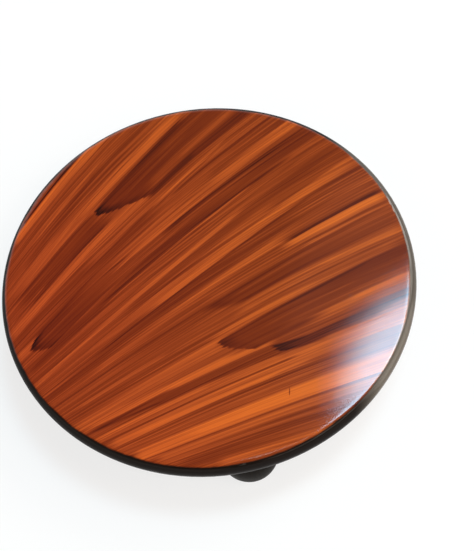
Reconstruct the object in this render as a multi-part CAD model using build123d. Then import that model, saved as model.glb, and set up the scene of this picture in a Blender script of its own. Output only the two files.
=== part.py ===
from build123d import *

import os
from math import radians, tan

# Chakla, a low round board for rolling out dough.
#
# A turned wooden disc stands on three turned bun feet, set near its rim a third of a turn apart.
# Each foot seats flat against the underside. One countersunk wood screw holds it, driven up through
# the foot from a counterbore, and its thread is cut into the wood around a blind pilot hole.
#
# Millimetres. +Z is up. The origin is on the table, under the centre of the board.
# The front foot stands on the -Y axis.

# Board
board_diameter = 254.0
board_thickness = 13.0
top_edge_radius = 5.0
rim_band = 0.5

# Feet
foot_names = ["front", "rear_right", "rear_left"]
front_foot_angle = -90.0
foot_height = 25.0
foot_belly_radius = 17.5
foot_belly_height = 12.0
foot_land_radius = 12.0
foot_shoulder_radius = 12.0
foot_neck_radius = 10.5
foot_neck_height = 2.0
foot_margin = 0.5

# Wood screws with a countersunk head and a cross recess
screw_head_depth = 5.0
screw_head_radius = 4.0
screw_head_rim = 0.4
screw_head_angle = 90.0
screw_shank_radius = 1.45
screw_core_radius = 1.25
screw_tip_radius = 0.25
screw_tip_length = 3.5
thread_radius = 2.0
thread_pitch = 1.8
thread_turns = 7
thread_root_width = 1.1
thread_crest_width = 0.25
thread_root_sink = 0.25
recess_span = 4.4
recess_blade = 1.2
recess_depth = 2.0
recess_taper = 8.0

# Holes for the screws
wood_above_screw = 3.0
pilot_radius = 1.35
pilot_tip_room = 0.5
foot_hole_clearance = 0.25
counterbore_clearance = 0.75
head_seat_clearance = 0.02
thread_clearance = 0.03
cut_overrun = 1.0

# Places worked out from the sizes above
board_radius = board_diameter / 2
lower_edge_radius = board_thickness - top_edge_radius - rim_band
underside_z = foot_height
top_z = foot_height + board_thickness
screw_tip_z = top_z - wood_above_screw
screw_length = screw_tip_z - screw_head_depth
screw_cone_slope = tan(radians(screw_head_angle / 2))
thread_start = screw_length - screw_tip_length - thread_root_width / 2 - thread_turns * thread_pitch
foot_axis_radius = board_radius - lower_edge_radius - foot_margin - foot_neck_radius


def turned(*outline):
    """A solid of revolution about Z. The points of its outline are radius and height."""
    return revolve(Plane.XZ * make_face(outline), Axis.Z)


def outline_of(*points):
    """Straight edges from point to point, and back to the first."""
    return [Line(start, end) for start, end in zip(points, points[1:] + points[:1])]


def foot_places():
    """The name of each foot and its place, turned to face outwards."""
    for index, name in enumerate(foot_names):
        angle = front_foot_angle + 360 * index / len(foot_names)
        yield name, Rot(Z=angle) * Pos(X=foot_axis_radius)


def thread_turn(clearance):
    """One turn of the screw's helical ridge about Z, starting at zero, grown by a clearance."""
    inner_radius = screw_core_radius - thread_root_sink
    crest_radius = thread_radius + clearance
    root_half = thread_root_width / 2 + clearance
    crest_half = thread_crest_width / 2 + clearance
    section = make_face(
        outline_of(
            (inner_radius, -root_half),
            (crest_radius, -crest_half),
            (crest_radius, crest_half),
            (inner_radius, root_half),
        )
    )
    path = Helix(thread_pitch, thread_pitch, screw_core_radius)
    return sweep(Plane.XZ * section, path, is_frenet=True)


def turn_starts():
    """The height of each turn of the thread above the outer face of the head."""
    return [thread_start + thread_pitch * turn for turn in range(thread_turns)]


def make_screw():
    """A countersunk wood screw, with the outer face of its head at zero and its tip up."""
    cone_end = screw_head_rim + (screw_head_radius - screw_shank_radius) / screw_cone_slope
    core_start = thread_start - thread_root_width / 2
    screw = turned(
        *outline_of(
            (0, 0),
            (screw_head_radius, 0),
            (screw_head_radius, screw_head_rim),
            (screw_shank_radius, cone_end),
            (screw_shank_radius, core_start - screw_shank_radius + screw_core_radius),
            (screw_core_radius, core_start),
            (screw_core_radius, screw_length - screw_tip_length),
            (screw_tip_radius, screw_length),
            (0, screw_length),
        )
    )
    ridge = thread_turn(0)
    for start in turn_starts():
        screw += Pos(Z=start) * ridge
    cross = Rectangle(recess_span, recess_blade) + Rectangle(recess_blade, recess_span)
    return screw - extrude(cross, recess_depth, taper=recess_taper)


def make_board():
    """The disc, with its rounded rim, and a pilot hole and a cut thread over each foot."""
    face_radius = board_radius - top_edge_radius
    underside_radius = board_radius - lower_edge_radius
    band_low_z = underside_z + lower_edge_radius
    band_high_z = top_z - top_edge_radius
    board = turned(
        Line((0, underside_z), (underside_radius, underside_z)),
        CenterArc((underside_radius, band_low_z), lower_edge_radius, -90, 90),
        Line((board_radius, band_low_z), (board_radius, band_high_z)),
        CenterArc((face_radius, band_high_z), top_edge_radius, 0, 90),
        Line((face_radius, top_z), (0, top_z)),
        Line((0, top_z), (0, underside_z)),
    )
    pilot_top_z = screw_tip_z + pilot_tip_room
    pilot = turned(
        *outline_of(
            (0, underside_z - cut_overrun),
            (pilot_radius, underside_z - cut_overrun),
            (pilot_radius, pilot_top_z - pilot_radius),
            (0, pilot_top_z),
        )
    )
    groove = thread_turn(thread_clearance)
    turn_heights = [screw_head_depth + start for start in turn_starts()]
    for _, place in foot_places():
        board -= place * pilot
        for height in turn_heights:
            if height + thread_pitch + thread_root_width > underside_z:
                board -= place * Pos(Z=height) * groove
    return board


def make_foot():
    """A turned bun foot, bored for its screw, with a counterbore and a cone seat for the head."""
    shoulder_z = foot_height - foot_neck_height
    bun = turned(
        Line((0, 0), (foot_land_radius, 0)),
        EllipticalCenterArc(
            (foot_land_radius, foot_belly_height),
            foot_belly_radius - foot_land_radius,
            foot_belly_height,
            start_angle=-90,
            arc_size=90,
        ),
        EllipticalCenterArc(
            (foot_shoulder_radius, foot_belly_height),
            foot_belly_radius - foot_shoulder_radius,
            shoulder_z - foot_belly_height,
            start_angle=0,
            arc_size=90,
        ),
        Line((foot_shoulder_radius, shoulder_z), (foot_neck_radius, shoulder_z)),
        Line((foot_neck_radius, shoulder_z), (foot_neck_radius, foot_height)),
        Line((foot_neck_radius, foot_height), (0, foot_height)),
        Line((0, foot_height), (0, 0)),
    )
    counterbore_radius = screw_head_radius + counterbore_clearance
    seat_radius = screw_head_radius + head_seat_clearance
    hole_radius = thread_radius + foot_hole_clearance
    cone_start_z = screw_head_depth + screw_head_rim
    cone_end_z = cone_start_z + (seat_radius - hole_radius) / screw_cone_slope
    bore = turned(
        *outline_of(
            (0, -cut_overrun),
            (counterbore_radius, -cut_overrun),
            (counterbore_radius, screw_head_depth),
            (seat_radius, screw_head_depth),
            (seat_radius, cone_start_z),
            (hole_radius, cone_end_z),
            (hole_radius, foot_height + cut_overrun),
            (0, foot_height + cut_overrun),
        )
    )
    return bun - bore


if __name__ == "__main__":
    os.makedirs("parts", exist_ok=True)
    foot = make_foot()
    screw = Pos(Z=screw_head_depth) * make_screw()
    export_step(make_board(), "parts/board.step")
    for name, place in foot_places():
        export_step(place * foot, f"parts/foot_{name}.step")
        export_step(place * screw, f"parts/screw_{name}.step")
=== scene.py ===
from math import cos, e, pi, radians, sin, tan

import bpy
from mathutils import Matrix, Vector


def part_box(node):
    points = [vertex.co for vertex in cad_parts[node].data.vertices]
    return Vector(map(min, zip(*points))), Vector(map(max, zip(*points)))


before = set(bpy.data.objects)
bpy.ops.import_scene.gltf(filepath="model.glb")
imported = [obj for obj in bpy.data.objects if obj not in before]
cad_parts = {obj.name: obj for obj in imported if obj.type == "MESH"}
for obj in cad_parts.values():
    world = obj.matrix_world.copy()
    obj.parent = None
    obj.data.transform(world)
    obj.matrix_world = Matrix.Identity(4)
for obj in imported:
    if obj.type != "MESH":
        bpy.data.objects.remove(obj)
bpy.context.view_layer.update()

# Camera, at the photograph's viewing angle. Lengths are in metres, the lens and its sensor in mm
CAMERA_AZIMUTH = radians(-6.69)
CAMERA_ELEVATION = radians(61.12)
CAMERA_ROLL = radians(-6.87)
CAMERA_DISTANCE = 0.6095
CAMERA_OFFSET_RIGHT = 0.01838
CAMERA_OFFSET_UP = -0.00280
CAMERA_LENS = 65.3
CAMERA_SENSOR = 36.0
CAMERA_CLIP_START = 0.01
CAMERA_CLIP_END = 50.0

# Sky and floor, in metres. The sky is brighter round the horizon than overhead
WORLD_HORIZON = 0.7
WORLD_ZENITH = 0.05
WORLD_FADE = (radians(22), radians(50))
FLOOR_HALF = 9.0
FLOOR_COLOUR = (0.95, 0.92, 0.88)
FLOOR_WHITE_SHARE = 0.75

# Lamps. A lamp's place is its azimuth from the back towards the right and its elevation, in degrees,
# and its size is what it spans seen from the board. Radiance 1 is a white surface in full light
LAMP_DISTANCE = 6.0
LAMP_COLOUR = (1.0, 0.92, 0.82)
LAMPS = {
    "key": {"azimuth": 138, "elevation": 50, "width": 44, "height": 12, "radiance": 3.8},
    "side": {"azimuth": 60, "elevation": 34, "width": 28, "height": 22, "radiance": 4.6},
    "arris": {"azimuth": 65, "elevation": 58, "width": 15, "height": 17, "radiance": 6.0},
    "brow": {"azimuth": 28, "elevation": 78, "width": 10, "height": 5, "radiance": 6.0},
    "low": {"azimuth": 104, "elevation": 20, "width": 34, "height": 40, "radiance": 2.8},
    "fill": {"azimuth": -130, "elevation": 35, "width": 70, "height": 30, "radiance": 0.5},
}

# The oval window that the lacquer mirrors, and two faint lamps for the haze round it. They are aimed at
# a place on the top, in metres
WINDOW_MIRRORED_AT = (0.085, -0.065)
WINDOW_COLOUR = (0.48, 0.77, 1.0)
WINDOW = {
    "window": {"azimuth": 45.1, "elevation": 66.7, "width": 19, "height": 16.8, "radiance": 20.2},
    "haze_near": {"azimuth": 50, "elevation": 61, "width": 30, "height": 26, "radiance": 0.17},
    "haze_wide": {"azimuth": 50, "elevation": 61, "width": 36, "height": 34, "radiance": 0.13},
}

# The board's own sizes, in mm
MM = 0.001
BOARD_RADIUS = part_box("board")[1].x / MM
TOP_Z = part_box("board")[1].z / MM
UNDERSIDE_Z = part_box("board")[0].z / MM


def srgb(red, green, blue):
    """A colour written as display values from 0 to 255, as the shader's linear values."""
    shares = [value / 255 for value in (red, green, blue)]
    return (*(s / 12.92 if s <= 0.04045 else ((s + 0.055) / 1.055) ** 2.4 for s in shares), 1)


# Grain of the top. Its brush strokes fan out from a point beyond the edge and bend a little.
# "Along" is the distance from that point, and "across" is real at the middle distance. Both are in mm
FAN_FOCUS = (-252.2, -122.6)
FAN_TURN = 0.1168
FAN_BEND = 0.205
FAN_SPREAD = 0.0772
FAN_MIDDLE = 279.4
STREAK_TILT = 0.0006
STREAK_LEVEL = 42.0

# Noises of the top. Each has the length and width of its spots in mm, a number that sets it apart from
# the others and, where it isn't 2, its detail
WANDER = ((120, 30), 3.1)
BROAD = ((200, 9), 11.7)
MEDIUM = ((180, 2.3), 23.3)
FINE = ((110, 0.9), 41.9, 3.0)
BRISTLE = ((22, 1.3), 57.7)
HAIR = ((30, 0.28), 5.3)
PEEL = ((0.8, 0.8), 77.0)

# How far the strokes wander, in mm, and how much each noise changes how dark the stain is
WANDER_WIDTH = 2.0
MEDIUM_DARK = 0.32
BROAD_DARK = 0.10
FINE_DARK = 0.52
HAIR_DARK = 0.22

# The stain from its lightest to its darkest, and how dark it is where no band lies
STAIN = [
    (0.00, srgb(216, 107, 38)),
    (0.15, srgb(199, 95, 35)),
    (0.30, srgb(178, 82, 32)),
    (0.45, srgb(149, 64, 24)),
    (0.60, srgb(123, 48, 15)),
    (0.75, srgb(103, 36, 12)),
    (0.90, srgb(72, 24, 9)),
    (1.00, srgb(48, 15, 6)),
]
PLAIN_DARK = 0.50

# Its hue shifts a little along and across the strokes, from one factor on the colour to another. This
# shift is painted light: redder on the left and more golden on the right, for the colour of the light
# reflected there
GOLDEN_ALONG = (170, 360)
GOLDEN_FACTORS = ((1.0, 0.90, 1.0, 1), (0.98, 1.09, 0.92, 1))
RUDDY_ACROSS = (230, 100)
RUDDY_FACTORS = ((1.0, 0.83, 0.80, 1), (1.0, 0.92, 0.80, 1))

# Bands of stain on the top, in the order in which they were brushed on: the places along and across of
# the middle line's two ends, the width, how dark from 0 to 1, the length over which the ends fade, and
# how soft the upper and lower sides are
BANDS = [
    # upper part, as the photograph shows the board
    ((185, 272), (340, 256), 22, 0.51, 20, 2.0, 2.0),
    ((225, 292.5), (282, 287), 6.0, 0.58, 10, 1.0, 1.0),
    ((275, 286.5), (325, 273.5), 5.0, 0.78, 12, 1.0, 0.6),
    ((222, 287.6), (322, 273.2), 5.4, 0.20, 8, 0.5, 0.9),
    ((224, 288.4), (268, 282.2), 2.4, 0.12, 12, 0.8, 0.8),
    ((234, 289.9), (290, 281.6), 1.3, 0.86, 10, 0.4, 0.4),
    ((228, 272.6), (300, 266.6), 1.2, 0.38, 16, 0.5, 0.5),
    ((185, 264), (235, 260.5), 6.0, 0.40, 20, 2.0, 1.5),
    ((212, 267.4), (292, 263.0), 4.4, 0.60, 18, 1.2, 0.9),
    ((282, 262.0), (342, 256.8), 5.0, 0.56, 20, 1.0, 0.8),
    ((195, 259), (357, 247.4), 6.6, 0.34, 18, 0.9, 0.5),
    ((262, 254.2), (357, 246.8), 4.2, 0.24, 20, 1.0, 0.5),
    ((205, 258.6), (285, 254.4), 1.1, 0.26, 16, 0.4, 0.4),
    ((250, 256.2), (330, 251.0), 0.9, 0.46, 16, 0.4, 0.4),
    ((166, 250.5), (200, 249), 12, 0.52, 10, 2.0, 2.0),
    ((190, 250.6), (262, 242.6), 14, 0.67, 16, 0.9, 1.2),
    ((200, 252.4), (262, 246.6), 1.2, 0.58, 16, 0.4, 0.6),
    ((170, 246.6), (205, 243.6), 1.0, 0.36, 10, 0.4, 0.4),
    ((170, 243.6), (202, 241.2), 1.2, 0.34, 10, 0.4, 0.4),
    ((180, 245.3), (215, 241.3), 1.0, 0.68, 10, 0.4, 0.4),
    ((168, 238.2), (292, 229.2), 7.4, 0.37, 12, 0.7, 0.7),
    ((185, 236.4), (262, 231.8), 3.4, 0.30, 20, 1.0, 1.0),
    ((192, 241.8), (262, 235.9), 1.6, 0.76, 14, 0.5, 0.4),
    ((200, 233.2), (285, 228.8), 0.8, 0.46, 16, 0.4, 0.4),
    ((185, 238.6), (262, 233.9), 0.7, 0.48, 16, 0.4, 0.4),
    ((163, 231.5), (248, 225.6), 6.4, 0.58, 18, 0.6, 1.5),
    ((235, 226), (305, 221), 7.0, 0.43, 20, 0.8, 1.5),
    ((163, 220), (300, 212.5), 12, 0.57, 20, 1.5, 1.5),
    ((163, 228.4), (215, 223.2), 1.2, 0.72, 12, 0.4, 0.5),
    ((208, 223.8), (302, 217.2), 1.2, 0.68, 12, 0.4, 0.5),
    ((158, 218.4), (178, 215.5), 8.0, 0.30, 6, 1.5, 1.5),
    ((240, 209), (300, 206), 8.0, 0.47, 16, 1.5, 1.5),
    ((184, 218.4), (250, 208.0), 1.1, 0.72, 12, 0.4, 0.4),
    ((285, 215.6), (392, 211), 9.0, 0.47, 20, 1.5, 1.0),
    ((292, 218.6), (354, 215.8), 1.2, 0.30, 14, 0.4, 0.4),
    ((288, 217.2), (345, 214.4), 0.7, 0.60, 14, 0.4, 0.4),
    ((300, 215.8), (352, 213.2), 0.8, 0.38, 14, 0.4, 0.4),
    ((305, 214.4), (392, 207.4), 1.3, 0.74, 14, 0.4, 0.6),
    ((330, 206.2), (396, 203.4), 4.4, 0.57, 16, 1.0, 0.8),
    ((256, 205), (398, 197.6), 4.6, 0.37, 20, 0.8, 0.5),
    ((330, 200.9), (398, 197.6), 4.4, 0.31, 20, 0.8, 0.5),
    ((240, 205.8), (312, 203.0), 1.0, 0.32, 14, 0.4, 0.4),
    ((282, 199.9), (402, 191.6), 2.4, 0.80, 16, 0.5, 0.8),
    # the middle
    ((160, 196), (405, 188), 7.0, 0.62, 14, 1.0, 1.5),
    ((222, 194.6), (372, 184.6), 1.6, 0.84, 20, 0.5, 0.7),
    ((222, 191.9), (340, 186.2), 1.0, 0.36, 16, 0.4, 0.4),
    ((156, 186), (405, 180.5), 6.5, 0.50, 14, 1.5, 1.5),
    ((156, 181), (320, 178), 3.2, 0.32, 20, 0.5, 1.2),
    ((220, 184.2), (380, 180.4), 0.9, 0.62, 20, 0.4, 0.4),
    ((230, 175.8), (405, 174), 4.6, 0.60, 24, 0.6, 1.5),
    ((156, 170), (340, 168), 6.5, 0.40, 20, 1.2, 0.8),
    ((190, 172.8), (300, 171.2), 0.9, 0.58, 20, 0.4, 0.4),
    ((240, 164.5), (405, 164), 4.2, 0.28, 30, 0.6, 1.5),
    ((156, 160), (405, 156.5), 7.0, 0.60, 14, 1.0, 1.6),
    ((200, 162.8), (360, 160.6), 1.0, 0.76, 20, 0.4, 0.6),
    ((190, 152.6), (330, 150.6), 4.0, 0.34, 20, 0.5, 1.5),
    ((156, 148), (270, 143.5), 7.0, 0.56, 14, 1.0, 2.0),
    # lower part
    ((345, 155), (405, 152), 9.0, 0.54, 14, 1.5, 1.5),
    ((330, 145.8), (400, 140.6), 4.4, 0.15, 14, 0.5, 0.9),
    ((332, 147.8), (400, 143.6), 2.2, 0.82, 12, 0.7, 0.4),
    ((338, 141.0), (398, 136.8), 1.0, 0.56, 14, 0.4, 0.4),
    ((340, 139.4), (398, 135.4), 1.6, 0.32, 14, 0.4, 0.4),
    ((330, 137.6), (398, 133.2), 1.1, 0.68, 14, 0.4, 0.5),
    ((300, 131.5), (396, 128.6), 6.5, 0.50, 16, 1.0, 1.5),
    ((280, 127), (396, 123.4), 5.0, 0.38, 16, 1.2, 1.0),
    ((340, 125.6), (392, 122.4), 1.2, 0.26, 14, 0.5, 0.5),
    ((156, 140), (270, 133), 14, 0.48, 14, 2.0, 2.0),
    ((172, 132.8), (228, 129.6), 2.2, 0.32, 12, 1.0, 1.0),
    ((163, 129.6), (262, 124.4), 0.9, 0.60, 14, 0.4, 0.5),
    ((163, 126.7), (257, 120.4), 1.4, 0.66, 14, 0.4, 0.6),
    ((164, 117), (262, 114), 9.0, 0.32, 14, 1.5, 1.5),
    ((262, 125.2), (345, 121.8), 0.9, 0.58, 14, 0.4, 0.4),
    ((262, 120.4), (385, 117.6), 4.4, 0.38, 16, 1.0, 0.4),
    ((280, 120.0), (328, 118.8), 2.4, 0.34, 14, 0.8, 0.6),
    ((195, 112.4), (262, 109.6), 0.9, 0.54, 14, 0.4, 0.4),
    ((170, 109.6), (262, 104), 4.5, 0.27, 14, 1.0, 1.0),
    ((222, 108.4), (266, 105.6), 0.9, 0.50, 12, 0.4, 0.4),
    ((222, 104.6), (287, 100.2), 3.0, 0.18, 12, 0.8, 0.4),
    ((172, 95.6), (287, 88.8), 6.6, 0.36, 8, 0.6, 0.6),
    ((180, 97.0), (240, 92.8), 1.6, 0.25, 10, 0.5, 0.6),
    ((200, 93.2), (287, 89.2), 0.8, 0.46, 12, 0.4, 0.4),
    ((172, 106.0), (224, 98.7), 5.4, 0.62, 12, 0.6, 0.5),
    ((214, 99.8), (306, 92.6), 6.2, 0.62, 12, 0.5, 0.5),
    ((176, 104.4), (215, 98.6), 1.4, 0.78, 12, 0.5, 0.5),
    ((200, 98.4), (245, 94.9), 0.7, 0.50, 12, 0.4, 0.4),
    ((180, 85.8), (375, 84), 7.5, 0.27, 10, 0.6, 0.6),
    ((195, 84.4), (300, 80.8), 2.6, 0.14, 16, 0.7, 0.7),
    ((172, 91), (295, 86.2), 1.2, 0.62, 12, 0.4, 0.4),
    ((215, 86), (330, 83.6), 0.8, 0.42, 14, 0.4, 0.4),
    ((280, 80.8), (332, 80.0), 0.8, 0.46, 12, 0.4, 0.4),
    ((184, 76), (365, 73.8), 6.8, 0.48, 10, 0.5, 1.5),
    ((180, 80.8), (335, 76.6), 1.2, 0.62, 8, 0.3, 1.0),
    ((190, 77.8), (320, 74.8), 0.7, 0.64, 12, 0.4, 0.4),
    ((200, 75.4), (300, 73.2), 0.7, 0.38, 12, 0.4, 0.4),
    ((190, 66.6), (352, 65.4), 9.0, 0.12, 10, 1.5, 0.6),
    ((225, 66.4), (325, 65.8), 5.0, 0.02, 20, 1.5, 1.5),
    ((205, 60.8), (345, 60.8), 1.1, 0.54, 10, 0.4, 0.4),
    ((202, 57.6), (345, 58), 4.0, 0.28, 10, 0.6, 0.6),
    ((205, 53.6), (332, 54.6), 3.6, 0.43, 16, 0.9, 0.9),
    ((222, 53.0), (305, 54.4), 1.4, 0.50, 14, 0.5, 0.5),
    ((215, 47.5), (332, 48.4), 8.0, 0.56, 10, 1.2, 1.5),
    ((235, 40), (305, 41.5), 6.0, 0.35, 10, 1.2, 1.5),
    ((283.0, 66.8), (284.6, 70.2), 1.6, 0.62, 0.8, 0.4, 0.4),
]

# Wet strokes start dark at a ragged edge and get lighter: the place along and across of the edge's upper
# end, the place of the middle line at the far end, the width, how dark at the edge, in the body and at
# the far end, how far the edge leans along for each mm across, how soft it is, and how far its upper
# corner is rounded off. These distances and those below are in mm
WET_STROKES = [
    ((171, 218), (235, 208), 18, 0.96, 0.68, 0.54, -0.4, 1.2, 4.0),
    ((260, 248.8), (395, 227.5), 22, 1.02, 0.70, 0.65, 0.7, 1.0, 5.0),
    ((262, 141.4), (400, 131), 9.5, 0.72, 0.65, 0.50, 2.0, 6.0, 3.0),
    ((258.5, 117), (392, 108), 16, 0.82, 0.66, 0.62, 0.3, 1.0, 2.0),
    ((283, 98.4), (310, 91.4), 5.2, 0.92, 0.84, 0.84, 1.2, 1.5, 3.0),
]
EDGE_CURVE = 0.05
RAGGED_WIDTH = 7.0
CORNER_DEPTH = 4.0
SIDE_BLUR = 0.7
FAR_BLUR = 12.0
WET_LENGTH = (1.5, 12.0)
WET_CALM = 0.55

# The stain pools towards a stroke's upper side and in a narrow line inside both sides, and its body
# turns into its far end from some way in
POOL_DEPTH = (4.0, 11.0)
POOL_LOSS = 0.6
DRY_FROM = 20.0
LINE_INSIDE = (2.2, 0.5)
LINE_DARK = 0.08

# Streaks over the wet strokes, written as the bands above
STREAKS = [
    ((300, 91.9), (352, 91.5), 4.8, 0.83, 10, 1.0, 0.8),
    ((340, 91.6), (384, 94.2), 4.4, 0.76, 12, 1.0, 0.8),
    ((270, 247.2), (352, 242.0), 2.8, 0.85, 14, 0.5, 1.8),
    ((300, 230.2), (382, 225.0), 5.4, 0.52, 16, 1.2, 1.0),
    ((330, 227.8), (378, 224.8), 1.8, 0.42, 14, 0.6, 0.6),
    ((294, 225.4), (388, 218.8), 4.0, 0.74, 10, 0.8, 0.6),
    ((295, 225.4), (335, 222.6), 2.4, 0.86, 8, 0.6, 0.6),
    ((285, 238.6), (345, 235.0), 1.2, 0.58, 16, 0.5, 0.5),
    ((325, 239.0), (375, 235.4), 2.0, 0.58, 16, 0.8, 0.8),
    ((262, 115.9), (362, 115.2), 1.2, 0.82, 12, 0.4, 0.5),
    ((334, 112.8), (396, 112.8), 4.2, 0.67, 16, 0.8, 1.2),
    ((290, 110.4), (350, 109.8), 1.0, 0.54, 16, 0.5, 0.5),
    ((300, 105.2), (388, 104.4), 2.6, 0.52, 16, 0.8, 0.8),
    ((318, 100.9), (384, 100.6), 4.6, 0.30, 26, 0.9, 1.0),
    ((343, 101.8), (380, 101.8), 1.8, 0.12, 12, 0.6, 0.6),
    ((176, 211.6), (240, 207.0), 1.2, 0.56, 14, 0.4, 0.4),
    ((285, 137.5), (345, 134.8), 1.2, 0.50, 16, 0.5, 0.5),
]

# How well a band covers what lies below it, and the inputs of the nodes that paint one
BAND_COVER = 0.95
BAND_INPUTS = (
    "Density", "Along", "Across", "Slope", "Above", "Top", "Below", "Bottom", "Before", "Start", "After",
    "End", "Dark",
)

# Rim, in mm. Its black starts a little way down the rounded top edge, at a ragged line. It starts later
# on one side, and earlier on the side where the rim has a glossier coat and a paler colour that is
# painted sheen, paler still towards the front. Such a side has a direction, the shares of the radius that
# way over which it begins, and its strength
RIM_START = BOARD_RADIUS - 3.7
RIM_BLUR = 0.6
RIM_RAGGED = 1.2
RIM_EARLY = 0.6
LATE_SIDE = ((-0.766, 0.643), (0.2, 0.9), 0.7)
GLOSS_AND_PAINTED_SHEEN_SIDE = ((0.985, -0.174), (0.62, 0.80), 1.0)
PAINTED_SHEEN_FRONT_SIDE = ((0.5, -0.866), (0.72, 0.96), 0.5)
ALL_RIM_Z = (TOP_Z - 1.6, TOP_Z - 2.4)
SMEAR = ((14, 3), 8.8)
BRUSHED = ((30, 0.5), 3.7, 3.0)
RIM_BLACK = (srgb(12, 8, 6), srgb(30, 20, 14))
# Painted sheen: the rim's brushed grey-brown on the side towards the lamps, and the paler colour it turns
# towards the front
PAINTED_SHEEN_COLOURS = (srgb(58, 51, 44), srgb(96, 85, 74))
PAINTED_SHEEN_FRONT_COLOUR = srgb(116, 104, 91)

# Underside, in mm. The dark stain has run in at its edge
UNDERSIDE_FADE = (UNDERSIDE_Z + 0.6, UNDERSIDE_Z + 0.1)
UNDER_GRAIN = ((90, 1.1), 17.0, 4.0)
UNDER_FIGURE = ((160, 11), 29.0)
UNDER_PORES = ((7, 0.35), 61.0, 1.0)
FIGURE_BEND = 3.0
FIGURE_COUNT = 5.0
FIGURE_SHARE = 0.45
PORE_RANGE = (0.66, 0.76)
PORE_SHARE = 0.7
SPILL_RAGGED = 9.0
SPILL_RADII = (119.0, 126.0)
UNDER_WOOD = (srgb(58, 33, 20), srgb(104, 64, 38))
UNDER_DARK = srgb(44, 24, 15)
UNDER_PORE = srgb(26, 14, 9)

# Surface of the board. The lacquer has full gloss on the top and is thin on the rim. It follows the
# streaks, has a peel of its own, and drops a little between two radii at the shoulder, all in mm
TOP_ROUGHNESS = (0.35, 0.55)
UNDER_ROUGHNESS = (0.6, 0.85)
BOARD_SPECULAR = 0.03
TOP_COAT = 1.0
BLACK_COAT = 0.16
SHEEN_COAT = 0.45
UNDER_COAT = 0.12
COAT_FADE = 0.8
COAT_ROUGHNESS = 0.04
RIDGE_SHARE = 0.3
FINE_RIDGE_SHARE = 0.3
PEEL_SHARE = 0.65
SHOULDER = (120.6, 124.4)
SHOULDER_DROP = 0.08

# Heights of the bumps, in metres
LACQUER_BUMP = 0.00002
WOOD_BUMP = 0.00008
FOOT_BUMP = 0.00007
SCREW_BUMP = 0.00001

# Feet, in mm. A foot's end grain has year rings in arcs about a heart beside its axis. It is bare in the
# bore, and rubbed bare in places at the land
TURNED_RADIUS = 15.0
FOOT_GRAIN = ((30, 0.8), 3.0, 4.0)
FOOT_RINGS = ((0.35, 90), 19.0)
FOOT_CLOUD = ((9, 14), 7.0, 3.0)
FOOT_RING_SHARE = 0.35
FOOT_STAIN = (srgb(12, 10, 8), srgb(32, 26, 21))
FOOT_RING = srgb(36, 31, 26)
END_GRAIN = ((0.5, 0.5), 5.0, 3.0)
END_GRAIN_SHARE = 0.6
HEART = (13.0, 7.0)
YEAR_RING = 2.3
YEAR_WAVE = ((9, 9), 13.0, 1.0)
YEAR_WAVE_WIDTH = 3.0
RAW_WOOD = (srgb(72, 48, 32), srgb(96, 67, 44))
RAW_DARK = srgb(58, 38, 25)
WORN_Z = (0.9, 0.05)
WORN_RANGE = (0.55, 1.15)
WORN_SHARE = 0.8
BORE_RADII = (5.2, 4.7)
BORE_Z = (20.0, 18.0)
FOOT_ROUGHNESS = (0.42, 0.58)
BARE_ROUGHNESS = 0.3
FOOT_SPECULAR = 0.08
RING_RIDGE_SHARE = 0.7
GRAIN_RIDGE_SHARE = 0.5

# Screws, in mm. Heights are above the face of the head
SCREW_SPOTS = ((1.4, 1.4), 3.0, 4.0)
SCREW_MARKS = ((0.09, 40), 11.0)
SCREW_DEEP = (0.15, 1.4)
ZINC = ((0.40, 0.39, 0.36, 1), (0.62, 0.61, 0.57, 1))
ZINC_MARK = (0.30, 0.29, 0.26, 1)
ZINC_DEEP = (0.16, 0.14, 0.11, 1)
MARK_SHARE = 0.35
DEEP_SHARE = 0.55
SCREW_ROUGHNESS = (0.28, 0.53)


def direction(azimuth, elevation):
    """The unit vector towards a direction given in degrees."""
    a = radians(azimuth)
    h = radians(elevation)
    return Vector((sin(a) * cos(h), cos(a) * cos(h), sin(h)))


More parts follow.
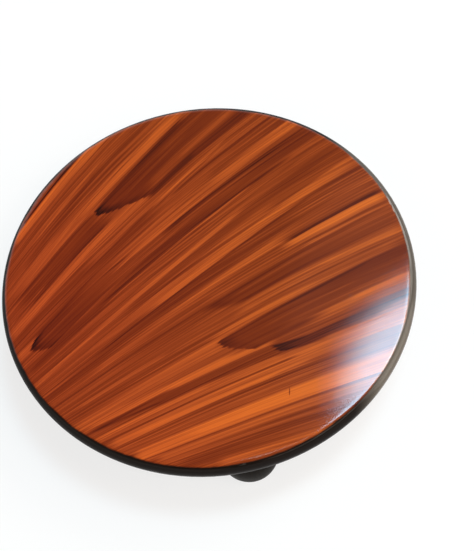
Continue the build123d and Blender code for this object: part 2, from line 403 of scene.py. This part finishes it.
class Nodes:
    """A node tree, with a short method for each kind of node that the materials use."""

    def __init__(self, tree):
        self.tree = tree

    def put(self, socket, value):
        """Links a socket to another one, or gives it a plain value."""
        if isinstance(value, bpy.types.NodeSocket):
            self.tree.links.new(value, socket)
        else:
            socket.default_value = value

    def node(self, kind, inputs=None, **settings):
        """A new node with its settings, and its inputs by name or by number."""
        node = self.tree.nodes.new(kind)
        for name, value in settings.items():
            setattr(node, name, value)
        for key, value in (inputs or {}).items():
            self.put(node.inputs[key], value)
        return node

    def math(self, operation, *values):
        """The result of one sum."""
        return self.node("ShaderNodeMath", dict(enumerate(values)), operation=operation).outputs[0]

    def between(self, share, low, high):
        """A number from low to high, by a share from 0 to 1."""
        return self.math("MULTIPLY_ADD", share, high - low, low)

    def swing(self, share, width):
        """A number up to half the width above or below zero, by a share from 0 to 1."""
        return self.math("MULTIPLY_ADD", share, width, -width / 2)

    def step(self, value, low, high, start=0.0, end=1.0):
        """Goes smoothly from start to end while the value goes from low to high."""
        inputs = dict(enumerate((value, low, high, start, end)))
        settings = {"interpolation_type": "SMOOTHSTEP", "clamp": False}
        return self.node("ShaderNodeMapRange", inputs, **settings).outputs[0]

    def blend(self, share, a, b):
        """A mix of two numbers."""
        return self.node("ShaderNodeMix", {0: share, 2: a, 3: b}).outputs[0]

    def tint(self, share, a, b, how="MIX"):
        """A mix of two colours."""
        inputs = {0: share, 6: a, 7: b}
        return self.node("ShaderNodeMix", inputs, data_type="RGBA", blend_type=how).outputs[2]

    def vector(self, x, y):
        """Two numbers as a flat vector."""
        return self.node("ShaderNodeCombineXYZ", {0: x, 1: y}).outputs[0]

    def length(self, vector):
        """The length of a vector."""
        return self.node("ShaderNodeVectorMath", {0: vector}, operation="LENGTH").outputs["Value"]

    def reach(self, place, side):
        """How far a place lies towards a side."""
        inputs = {0: place, 1: (*side, 0)}
        node = self.node("ShaderNodeVectorMath", inputs, operation="DOT_PRODUCT")
        return node.outputs["Value"]

    def noise(self, x, y, sizes, shift, detail=2.0):
        """Noise from 0 to 1, whose spots have the given sizes along x and y."""
        place = self.vector(
            self.math("MULTIPLY_ADD", x, 1 / sizes[0], shift),
            self.math("MULTIPLY_ADD", y, 1 / sizes[1], shift),
        )
        inputs = {"Vector": place, "Scale": 1.0, "Detail": detail}
        return self.node("ShaderNodeTexNoise", inputs, noise_dimensions="2D").outputs[0]

    def ramp(self, value, stops):
        """A colour from a list of places and colours."""
        node = self.node("ShaderNodeValToRGB", {0: value})
        elements = node.color_ramp.elements
        while len(elements) < len(stops):
            elements.new(1.0)
        for element, (place, colour) in zip(elements, stops):
            element.position = place
            element.color = colour
        return node.outputs[0]

    def bump(self, height, distance):
        """A normal from a height, where a height of 1 stands for the distance in metres."""
        return self.node("ShaderNodeBump", {"Height": height, "Distance": distance}).outputs[0]


def new_material(name):
    """A material, its nodes and its principled shader."""
    material = bpy.data.materials.new(name)
    material.use_nodes = True
    nodes = Nodes(material.node_tree)
    return material, nodes, material.node_tree.nodes["Principled BSDF"]


def place_in_mm(nodes):
    """The place of a point in the row's frame, in millimetres."""
    place = nodes.node("ShaderNodeTexCoord").outputs["Object"]
    scaled = nodes.node("ShaderNodeVectorMath", {0: place, 3: 1 / MM}, operation="SCALE").outputs[0]
    return nodes.node("ShaderNodeSeparateXYZ", {0: scaled}).outputs


def fan_grain(nodes, place):
    """The distances along and across the grain of the top, in millimetres."""
    away_x = nodes.math("SUBTRACT", place[0], FAN_FOCUS[0])
    away_y = nodes.math("SUBTRACT", place[1], FAN_FOCUS[1])
    along = nodes.length(nodes.vector(away_x, away_y))
    share = nodes.math("DIVIDE", along, BOARD_RADIUS)
    angle = nodes.math("ARCTAN2", away_y, away_x)
    bend = nodes.math("MULTIPLY", nodes.math("LOGARITHM", share, e), -FAN_BEND)
    spread = nodes.math("MULTIPLY_ADD", share, FAN_SPREAD, FAN_TURN)
    turned = nodes.math("ADD", nodes.math("ADD", angle, bend), spread)
    return along, nodes.math("MULTIPLY", turned, FAN_MIDDLE)


def band_group():
    """The nodes that lay a band over the density below it, as a group that all the bands share."""
    tree = bpy.data.node_groups.new("stain_band", "ShaderNodeTree")
    for name in BAND_INPUTS:
        tree.interface.new_socket(name, in_out="INPUT", socket_type="NodeSocketFloat")
    tree.interface.new_socket("Density", in_out="OUTPUT", socket_type="NodeSocketFloat")
    nodes = Nodes(tree)
    given = nodes.node("NodeGroupInput").outputs
    offset = nodes.math("MULTIPLY_ADD", given["Along"], given["Slope"], given["Across"])
    cover = nodes.step(offset, given["Above"], given["Top"], 0.0, BAND_COVER)
    cover = nodes.step(offset, given["Below"], given["Bottom"], 0.0, cover)
    cover = nodes.step(given["Along"], given["Before"], given["Start"], 0.0, cover)
    cover = nodes.step(given["Along"], given["After"], given["End"], 0.0, cover)
    nodes.node("NodeGroupOutput", {0: nodes.blend(cover, given["Density"], given["Dark"])})
    return tree


def paint_band(nodes, group, density, along, across, band):
    """A band over the density below it."""
    (along_1, across_1), (along_2, across_2), width, dark, fade, above, below = band
    slope = (across_2 - across_1) / (along_2 - along_1)
    top = across_1 - slope * along_1 + width / 2
    bottom = top - width
    inputs = {
        "Density": density,
        "Along": along,
        "Across": across,
        "Slope": -slope,
        "Above": top + above,
        "Top": top - above,
        "Below": bottom - below,
        "Bottom": bottom + below,
        "Before": along_1 - fade / 2,
        "Start": along_1 + fade / 2,
        "After": along_2 + fade / 2,
        "End": along_2 - fade / 2,
        "Dark": dark,
    }
    return nodes.node("ShaderNodeGroup", inputs, node_tree=group).outputs[0]


def paint_wet(nodes, density, calm, along, across, ragged, stroke):
    """A wet stroke over the density below it, pooled at its start and sides, which calms its streaks."""
    (start, top), (end, middle), width, wet, body, last, lean, blur, round_off = stroke
    half = width / 2
    centre = top - half
    slope = (middle - centre) / (end - start)
    offset = nodes.math("MULTIPLY_ADD", along, -slope, across)
    offset = nodes.math("SUBTRACT", offset, centre - slope * start)
    beside = nodes.math("ABSOLUTE", offset)
    depth = nodes.math("SUBTRACT", half, offset)

    # how far a point lies behind the edge, which leans, bulges and has one corner rounded off
    bulge = nodes.math("MULTIPLY", depth, nodes.math("MULTIPLY_ADD", depth, EDGE_CURVE, lean))
    corner = nodes.step(depth, CORNER_DEPTH, 0.0, start, start + round_off)
    into = nodes.math("SUBTRACT", nodes.math("ADD", along, ragged), nodes.math("ADD", bulge, corner))

    cover = nodes.step(beside, half + SIDE_BLUR, half - SIDE_BLUR)
    cover = nodes.math("MULTIPLY", cover, nodes.step(into, -blur, blur))
    cover = nodes.math("MULTIPLY", cover, nodes.step(along, end + FAR_BLUR, end - FAR_BLUR))

    pool = nodes.step(depth, *POOL_DEPTH, wet, wet - POOL_LOSS * (wet - body))
    fresh = nodes.step(into, *WET_LENGTH, pool, body)
    aged = nodes.step(into, DRY_FROM, end - start, 0.0, last - body)
    line = nodes.step(beside, *(half - inside for inside in LINE_INSIDE), 0.0, LINE_DARK)
    dark = nodes.math("ADD", nodes.math("ADD", fresh, aged), line)
    return nodes.blend(cover, density, dark), nodes.blend(cover, calm, WET_CALM)


def top_coordinates(nodes, place):
    """The wandering coordinates along and across the strokes, and one in which fine streaks run level."""
    along, plain_across = fan_grain(nodes, place)
    wander = nodes.noise(along, plain_across, *WANDER)
    across = nodes.math("ADD", plain_across, nodes.swing(wander, WANDER_WIDTH))
    tilt = nodes.math("MULTIPLY", nodes.math("SUBTRACT", across, STREAK_LEVEL), STREAK_TILT)
    away = nodes.math("SUBTRACT", along, FAN_MIDDLE)
    return along, across, nodes.math("MULTIPLY_ADD", tilt, away, across)


def top_colour(nodes, place):
    """The brushed stain, each stroke over the ones before, and the medium and fine noise in it."""
    along, across, level = top_coordinates(nodes, place)
    broad, medium, fine, bristle, hair = (
        nodes.noise(along, level, *spots) for spots in (BROAD, MEDIUM, FINE, BRISTLE, HAIR)
    )
    group = band_group()
    density = PLAIN_DARK
    for band in BANDS:
        density = paint_band(nodes, group, density, along, across, band)
    ragged = nodes.swing(bristle, RAGGED_WIDTH)
    calm = 1.0
    for stroke in WET_STROKES:
        density, calm = paint_wet(nodes, density, calm, along, across, ragged, stroke)
    for band in STREAKS:
        density = paint_band(nodes, group, density, along, across, band)
    streaks = nodes.swing(medium, MEDIUM_DARK)
    for noise, depth in ((broad, BROAD_DARK), (fine, FINE_DARK), (hair, HAIR_DARK)):
        streaks = nodes.math("ADD", streaks, nodes.swing(noise, depth))
    density = nodes.math("MULTIPLY_ADD", streaks, calm, density)
    top = nodes.ramp(density, STAIN)
    # painted light: a redder tint on the left of the top and a more golden one on the right
    golden = nodes.tint(nodes.step(along, *GOLDEN_ALONG), *GOLDEN_FACTORS)
    ruddy = nodes.tint(nodes.step(across, *RUDDY_ACROSS), *RUDDY_FACTORS)
    top = nodes.tint(1.0, nodes.tint(1.0, top, golden, "MULTIPLY"), ruddy, "MULTIPLY")
    return top, medium, fine


def rim_side(nodes, plan, side, shares, strength):
    """How strong what lies on one side of the rim is at a place."""
    low, high = (share * BOARD_RADIUS for share in shares)
    return nodes.step(nodes.reach(plan, side), low, high, 0.0, strength)


def underside_colour(nodes, place, spill, black):
    """Plain wood with a thin wash of stain, and the grain and pores in it."""
    grain = nodes.noise(place[0], place[1], *UNDER_GRAIN)
    bent = nodes.math("MULTIPLY_ADD", grain, FIGURE_BEND, place[1])
    figure = nodes.noise(place[0], bent, *UNDER_FIGURE)
    figure = nodes.math("PINGPONG", nodes.math("MULTIPLY", figure, FIGURE_COUNT), 1.0)
    pores = nodes.step(nodes.noise(place[0], place[1], *UNDER_PORES), *PORE_RANGE)
    below = nodes.tint(grain, *UNDER_WOOD)
    below = nodes.tint(nodes.math("MULTIPLY", figure, FIGURE_SHARE), below, UNDER_DARK)
    below = nodes.tint(nodes.math("MULTIPLY", pores, PORE_SHARE), below, UNDER_PORE)
    return nodes.tint(spill, below, black), grain, pores


def board_material():
    """Brushed stain under clear lacquer on top, a near-black rim, and a dark underside."""
    material, nodes, shader = new_material("stained_wood")
    place = place_in_mm(nodes)
    top, medium, fine = top_colour(nodes, place)

    # the rim's colour: black, but for a painted sheen on one side, paler still towards its front
    plan = nodes.vector(place[0], place[1])
    radius = nodes.length(plan)
    round_about = nodes.math("MULTIPLY", nodes.math("ARCTAN2", place[1], place[0]), BOARD_RADIUS)
    smear = nodes.noise(round_about, place[2], *SMEAR)
    brushed = nodes.noise(round_about, place[2], *BRUSHED)
    gloss_and_painted_sheen = rim_side(nodes, plan, *GLOSS_AND_PAINTED_SHEEN_SIDE)
    painted_sheen_front = rim_side(nodes, plan, *PAINTED_SHEEN_FRONT_SIDE)
    black = nodes.tint(brushed, *RIM_BLACK)
    pale = nodes.tint(painted_sheen_front, nodes.tint(brushed, *PAINTED_SHEEN_COLOURS), PAINTED_SHEEN_FRONT_COLOUR)
    rim = nodes.tint(gloss_and_painted_sheen, black, pale)

    # where the rim's thin coat and its colour start, and where the underside does
    to_rim = nodes.math("ADD", radius, nodes.swing(smear, RIM_RAGGED))
    to_rim = nodes.math("SUBTRACT", to_rim, rim_side(nodes, plan, *LATE_SIDE))
    all_rim = nodes.step(place[2], *ALL_RIM_Z)
    thin = nodes.math("MAXIMUM", nodes.step(to_rim, RIM_START, RIM_START + COAT_FADE), all_rim)
    to_rim = nodes.math("MULTIPLY_ADD", nodes.math("MAXIMUM", gloss_and_painted_sheen, painted_sheen_front), RIM_EARLY, to_rim)
    rim_share = nodes.step(to_rim, RIM_START - RIM_BLUR, RIM_START + RIM_BLUR)
    rim_share = nodes.math("MAXIMUM", rim_share, all_rim)
    below_share = nodes.step(place[2], *UNDERSIDE_FADE)

    spill = nodes.step(nodes.math("MULTIPLY_ADD", smear, SPILL_RAGGED, radius), *SPILL_RADII)
    below, grain, pores = underside_colour(nodes, place, spill, black)
    colour = nodes.tint(below_share, nodes.tint(rim_share, top, rim), below)
    nodes.put(shader.inputs["Base Color"], colour)

    top_roughness = nodes.between(medium, *TOP_ROUGHNESS)
    below_roughness = nodes.between(pores, *UNDER_ROUGHNESS)
    nodes.put(shader.inputs["Roughness"], nodes.blend(below_share, top_roughness, below_roughness))
    shader.inputs["Specular IOR Level"].default_value = BOARD_SPECULAR
    coat = nodes.blend(thin, TOP_COAT, nodes.blend(gloss_and_painted_sheen, BLACK_COAT, SHEEN_COAT))
    nodes.put(shader.inputs["Coat Weight"], nodes.blend(below_share, coat, UNDER_COAT))
    shader.inputs["Coat Roughness"].default_value = COAT_ROUGHNESS

    ridges = nodes.math("MULTIPLY_ADD", fine, FINE_RIDGE_SHARE, medium)
    ridges = nodes.blend(rim_share, nodes.math("MULTIPLY", ridges, RIDGE_SHARE), brushed)
    peel = nodes.noise(place[0], place[1], *PEEL)
    skin = nodes.math("MULTIPLY_ADD", peel, PEEL_SHARE, ridges)
    shoulder = nodes.step(radius, *SHOULDER, SHOULDER_DROP * MM / LACQUER_BUMP, 0.0)
    lacquer = nodes.math("ADD", skin, shoulder)
    wood = nodes.blend(below_share, fine, nodes.math("SUBTRACT", grain, pores))
    nodes.put(shader.inputs["Normal"], nodes.bump(wood, WOOD_BUMP))
    nodes.put(shader.inputs["Coat Normal"], nodes.bump(lacquer, LACQUER_BUMP))
    return material


def place_about(nodes, place, node_name):
    """The radius from a turned node's upright axis, the way round it, and the place beside it, in mm."""
    low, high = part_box(node_name)
    centre = (low + high) / 2 / MM
    x = nodes.math("SUBTRACT", place[0], centre.x)
    y = nodes.math("SUBTRACT", place[1], centre.y)
    round_about = nodes.math("MULTIPLY", nodes.math("ARCTAN2", y, x), TURNED_RADIUS)
    return nodes.length(nodes.vector(x, y)), round_about, x, y


def foot_material(node_name):
    """Near-black satin stain on turned wood, rubbed off the land, with a raw bore."""
    material, nodes, shader = new_material("dark_wood_" + node_name)
    place = place_in_mm(nodes)
    radius, round_about, x, y = place_about(nodes, place, node_name)

    grain = nodes.noise(place[2], round_about, *FOOT_GRAIN)
    rings = nodes.noise(place[2], round_about, *FOOT_RINGS)
    cloud = nodes.noise(place[2], round_about, *FOOT_CLOUD)
    stain = nodes.tint(grain, *FOOT_STAIN)
    stain = nodes.tint(nodes.math("MULTIPLY", rings, FOOT_RING_SHARE), stain, FOOT_RING)

    end_grain = nodes.noise(x, y, *END_GRAIN)
    heart = nodes.vector(nodes.math("SUBTRACT", x, HEART[0]), nodes.math("SUBTRACT", y, HEART[1]))
    wave = nodes.noise(x, y, *YEAR_WAVE)
    years = nodes.math("MULTIPLY_ADD", wave, YEAR_WAVE_WIDTH, nodes.length(heart))
    years = nodes.math("PINGPONG", years, YEAR_RING / 2)
    years = nodes.math("DIVIDE", years, YEAR_RING / 2)
    raw = nodes.tint(years, *RAW_WOOD)
    raw = nodes.tint(nodes.math("MULTIPLY", end_grain, END_GRAIN_SHARE), raw, RAW_DARK)

    worn = nodes.step(place[2], *WORN_Z)
    worn = nodes.math("MULTIPLY", worn, nodes.step(nodes.math("ADD", cloud, worn), *WORN_RANGE))
    bored = nodes.math("MULTIPLY", nodes.step(radius, *BORE_RADII), nodes.step(place[2], *BORE_Z))
    bare = nodes.math("MAXIMUM", nodes.math("MULTIPLY", worn, WORN_SHARE), bored)
    nodes.put(shader.inputs["Base Color"], nodes.tint(bare, stain, raw))

    roughness = nodes.between(cloud, *FOOT_ROUGHNESS)
    roughness = nodes.math("MULTIPLY_ADD", bare, BARE_ROUGHNESS, roughness)
    nodes.put(shader.inputs["Roughness"], roughness)
    shader.inputs["Specular IOR Level"].default_value = FOOT_SPECULAR
    turned = nodes.math("MULTIPLY", grain, GRAIN_RIDGE_SHARE)
    turned = nodes.math("MULTIPLY_ADD", rings, RING_RIDGE_SHARE, turned)
    height = nodes.blend(bare, turned, end_grain)
    nodes.put(shader.inputs["Normal"], nodes.bump(height, FOOT_BUMP))
    return material


def screw_material(node_name):
    """Dull zinc plating with turning marks, dark in the recess and on the thread's flanks."""
    material, nodes, shader = new_material("screw_steel_" + node_name)
    place = place_in_mm(nodes)
    radius, round_about, x, y = place_about(nodes, place, node_name)
    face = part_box(node_name)[0].z / MM
    spots = nodes.noise(x, y, *SCREW_SPOTS)
    marks = nodes.noise(radius, round_about, *SCREW_MARKS)
    deep = nodes.step(place[2], *(face + height for height in SCREW_DEEP))
    zinc = nodes.tint(spots, *ZINC)
    zinc = nodes.tint(nodes.math("MULTIPLY", marks, MARK_SHARE), zinc, ZINC_MARK)
    zinc = nodes.tint(nodes.math("MULTIPLY", deep, DEEP_SHARE), zinc, ZINC_DEEP)
    nodes.put(shader.inputs["Base Color"], zinc)
    shader.inputs["Metallic"].default_value = 1.0
    nodes.put(shader.inputs["Roughness"], nodes.between(spots, *SCREW_ROUGHNESS))
    nodes.put(shader.inputs["Normal"], nodes.bump(marks, SCREW_BUMP))
    return material


def make_camera():
    """The camera's own axes are parallel to the photograph's, and its place gives the framing."""
    target = Vector((0, 0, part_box("board")[1].z))
    back = Vector(
        (
            sin(CAMERA_AZIMUTH) * cos(CAMERA_ELEVATION),
            -cos(CAMERA_AZIMUTH) * cos(CAMERA_ELEVATION),
            sin(CAMERA_ELEVATION),
        )
    )
    level = Vector((cos(CAMERA_AZIMUTH), sin(CAMERA_AZIMUTH), 0))
    rise = back.cross(level)
    right = cos(CAMERA_ROLL) * level + sin(CAMERA_ROLL) * rise
    up = back.cross(right)
    data = bpy.data.cameras.new("camera")
    data.lens = CAMERA_LENS
    data.sensor_width = CAMERA_SENSOR
    data.clip_start = CAMERA_CLIP_START
    data.clip_end = CAMERA_CLIP_END
    camera = bpy.data.objects.new("camera", data)
    bpy.context.scene.collection.objects.link(camera)
    place = target + CAMERA_DISTANCE * back + CAMERA_OFFSET_RIGHT * right + CAMERA_OFFSET_UP * up
    turn = Matrix((right, up, back)).transposed().to_4x4()
    camera.matrix_world = Matrix.Translation(place) @ turn
    bpy.context.scene.camera = camera


def seen_share(nodes):
    """1 for a ray from the camera, from a mirror or through glass, and 0 for one that only lights."""
    rays = nodes.node("ShaderNodeLightPath").outputs
    seen = nodes.math("MAXIMUM", rays["Is Camera Ray"], rays["Is Glossy Ray"])
    return nodes.math("MAXIMUM", seen, rays["Is Transmission Ray"])


def make_world():
    """A studio sky, bright round the horizon and dim overhead, that looks white round the horizon."""
    world = bpy.data.worlds.new("studio")
    bpy.context.scene.world = world
    world.use_nodes = True
    nodes = Nodes(world.node_tree)
    towards = nodes.node("ShaderNodeTexCoord").outputs["Generated"]
    height = nodes.node("ShaderNodeSeparateXYZ", {0: towards}).outputs[2]
    low, high = (sin(angle) for angle in WORLD_FADE)
    level = nodes.step(height, low, high, WORLD_HORIZON, WORLD_ZENITH)
    shown = nodes.step(height, low, high, 1.0, WORLD_ZENITH)
    level = nodes.blend(seen_share(nodes), level, shown)
    background = world.node_tree.nodes["Background"]
    nodes.put(background.inputs["Strength"], level)
    background.inputs["Color"].default_value = (1, 1, 1, 1)


def make_floor():
    """A plain pale floor, which looks whiter than the light on it makes it."""
    s = FLOOR_HALF
    mesh = bpy.data.meshes.new("floor")
    mesh.from_pydata([(-s, -s, 0), (s, -s, 0), (s, s, 0), (-s, s, 0)], [], [(0, 1, 2, 3)])
    floor = bpy.data.objects.new("floor", mesh)
    bpy.context.scene.collection.objects.link(floor)
    material, nodes, shader = new_material("floor")
    shader.inputs["Base Color"].default_value = (*FLOOR_COLOUR, 1)
    shader.inputs["Roughness"].default_value = 1.0
    shader.inputs["Specular IOR Level"].default_value = 0.0
    white = nodes.node("ShaderNodeEmission", {"Color": (1, 1, 1, 1), "Strength": 1.0}).outputs[0]
    share = nodes.math("MULTIPLY", seen_share(nodes), FLOOR_WHITE_SHARE)
    shown = nodes.node("ShaderNodeMixShader", {0: share, 1: shader.outputs[0], 2: white}).outputs[0]
    nodes.put(material.node_tree.nodes["Material Output"].inputs["Surface"], shown)
    mesh.materials.append(material)


def add_lamp(name, data, towards, distance, at):
    """Puts a lamp at a distance in a direction, and aims it at a place on the top."""
    lamp = bpy.data.objects.new(name, data)
    bpy.context.scene.collection.objects.link(lamp)
    target = Vector((*at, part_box("board")[1].z))
    turn = towards.to_track_quat("Z", "Y").to_matrix().to_4x4()
    lamp.matrix_world = Matrix.Translation(target + distance * towards) @ turn


def add_softbox(name, lamp, colour, at=(0, 0), shape="RECTANGLE"):
    """A flat lamp that spans its angles, seen from a place on the top."""
    data = bpy.data.lights.new(name, "AREA")
    data.shape = shape
    data.size = 2 * LAMP_DISTANCE * tan(radians(lamp["width"] / 2))
    data.size_y = 2 * LAMP_DISTANCE * tan(radians(lamp["height"] / 2))
    data.color = colour
    filled = {"RECTANGLE": 1, "ELLIPSE": pi / 4}[shape]
    data.energy = lamp["radiance"] * pi * filled * data.size * data.size_y
    add_lamp(name, data, direction(lamp["azimuth"], lamp["elevation"]), LAMP_DISTANCE, at)


def make_lamps():
    """Wide soft lamps, mostly from the right, and the window that the lacquer mirrors with its haze."""
    for name, lamp in LAMPS.items():
        add_softbox(name, lamp, LAMP_COLOUR)
    for name, lamp in WINDOW.items():
        add_softbox(name, lamp, WINDOW_COLOUR, WINDOW_MIRRORED_AT, "ELLIPSE")


make_camera()
make_world()
make_floor()
make_lamps()

makers = {"board": lambda name: board_material(), "foot": foot_material, "screw": screw_material}
for name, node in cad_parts.items():
    node.data.materials.clear()
    node.data.materials.append(makers[name.split("_")[0]](name))

bpy.context.scene.view_settings.view_transform = "Standard"
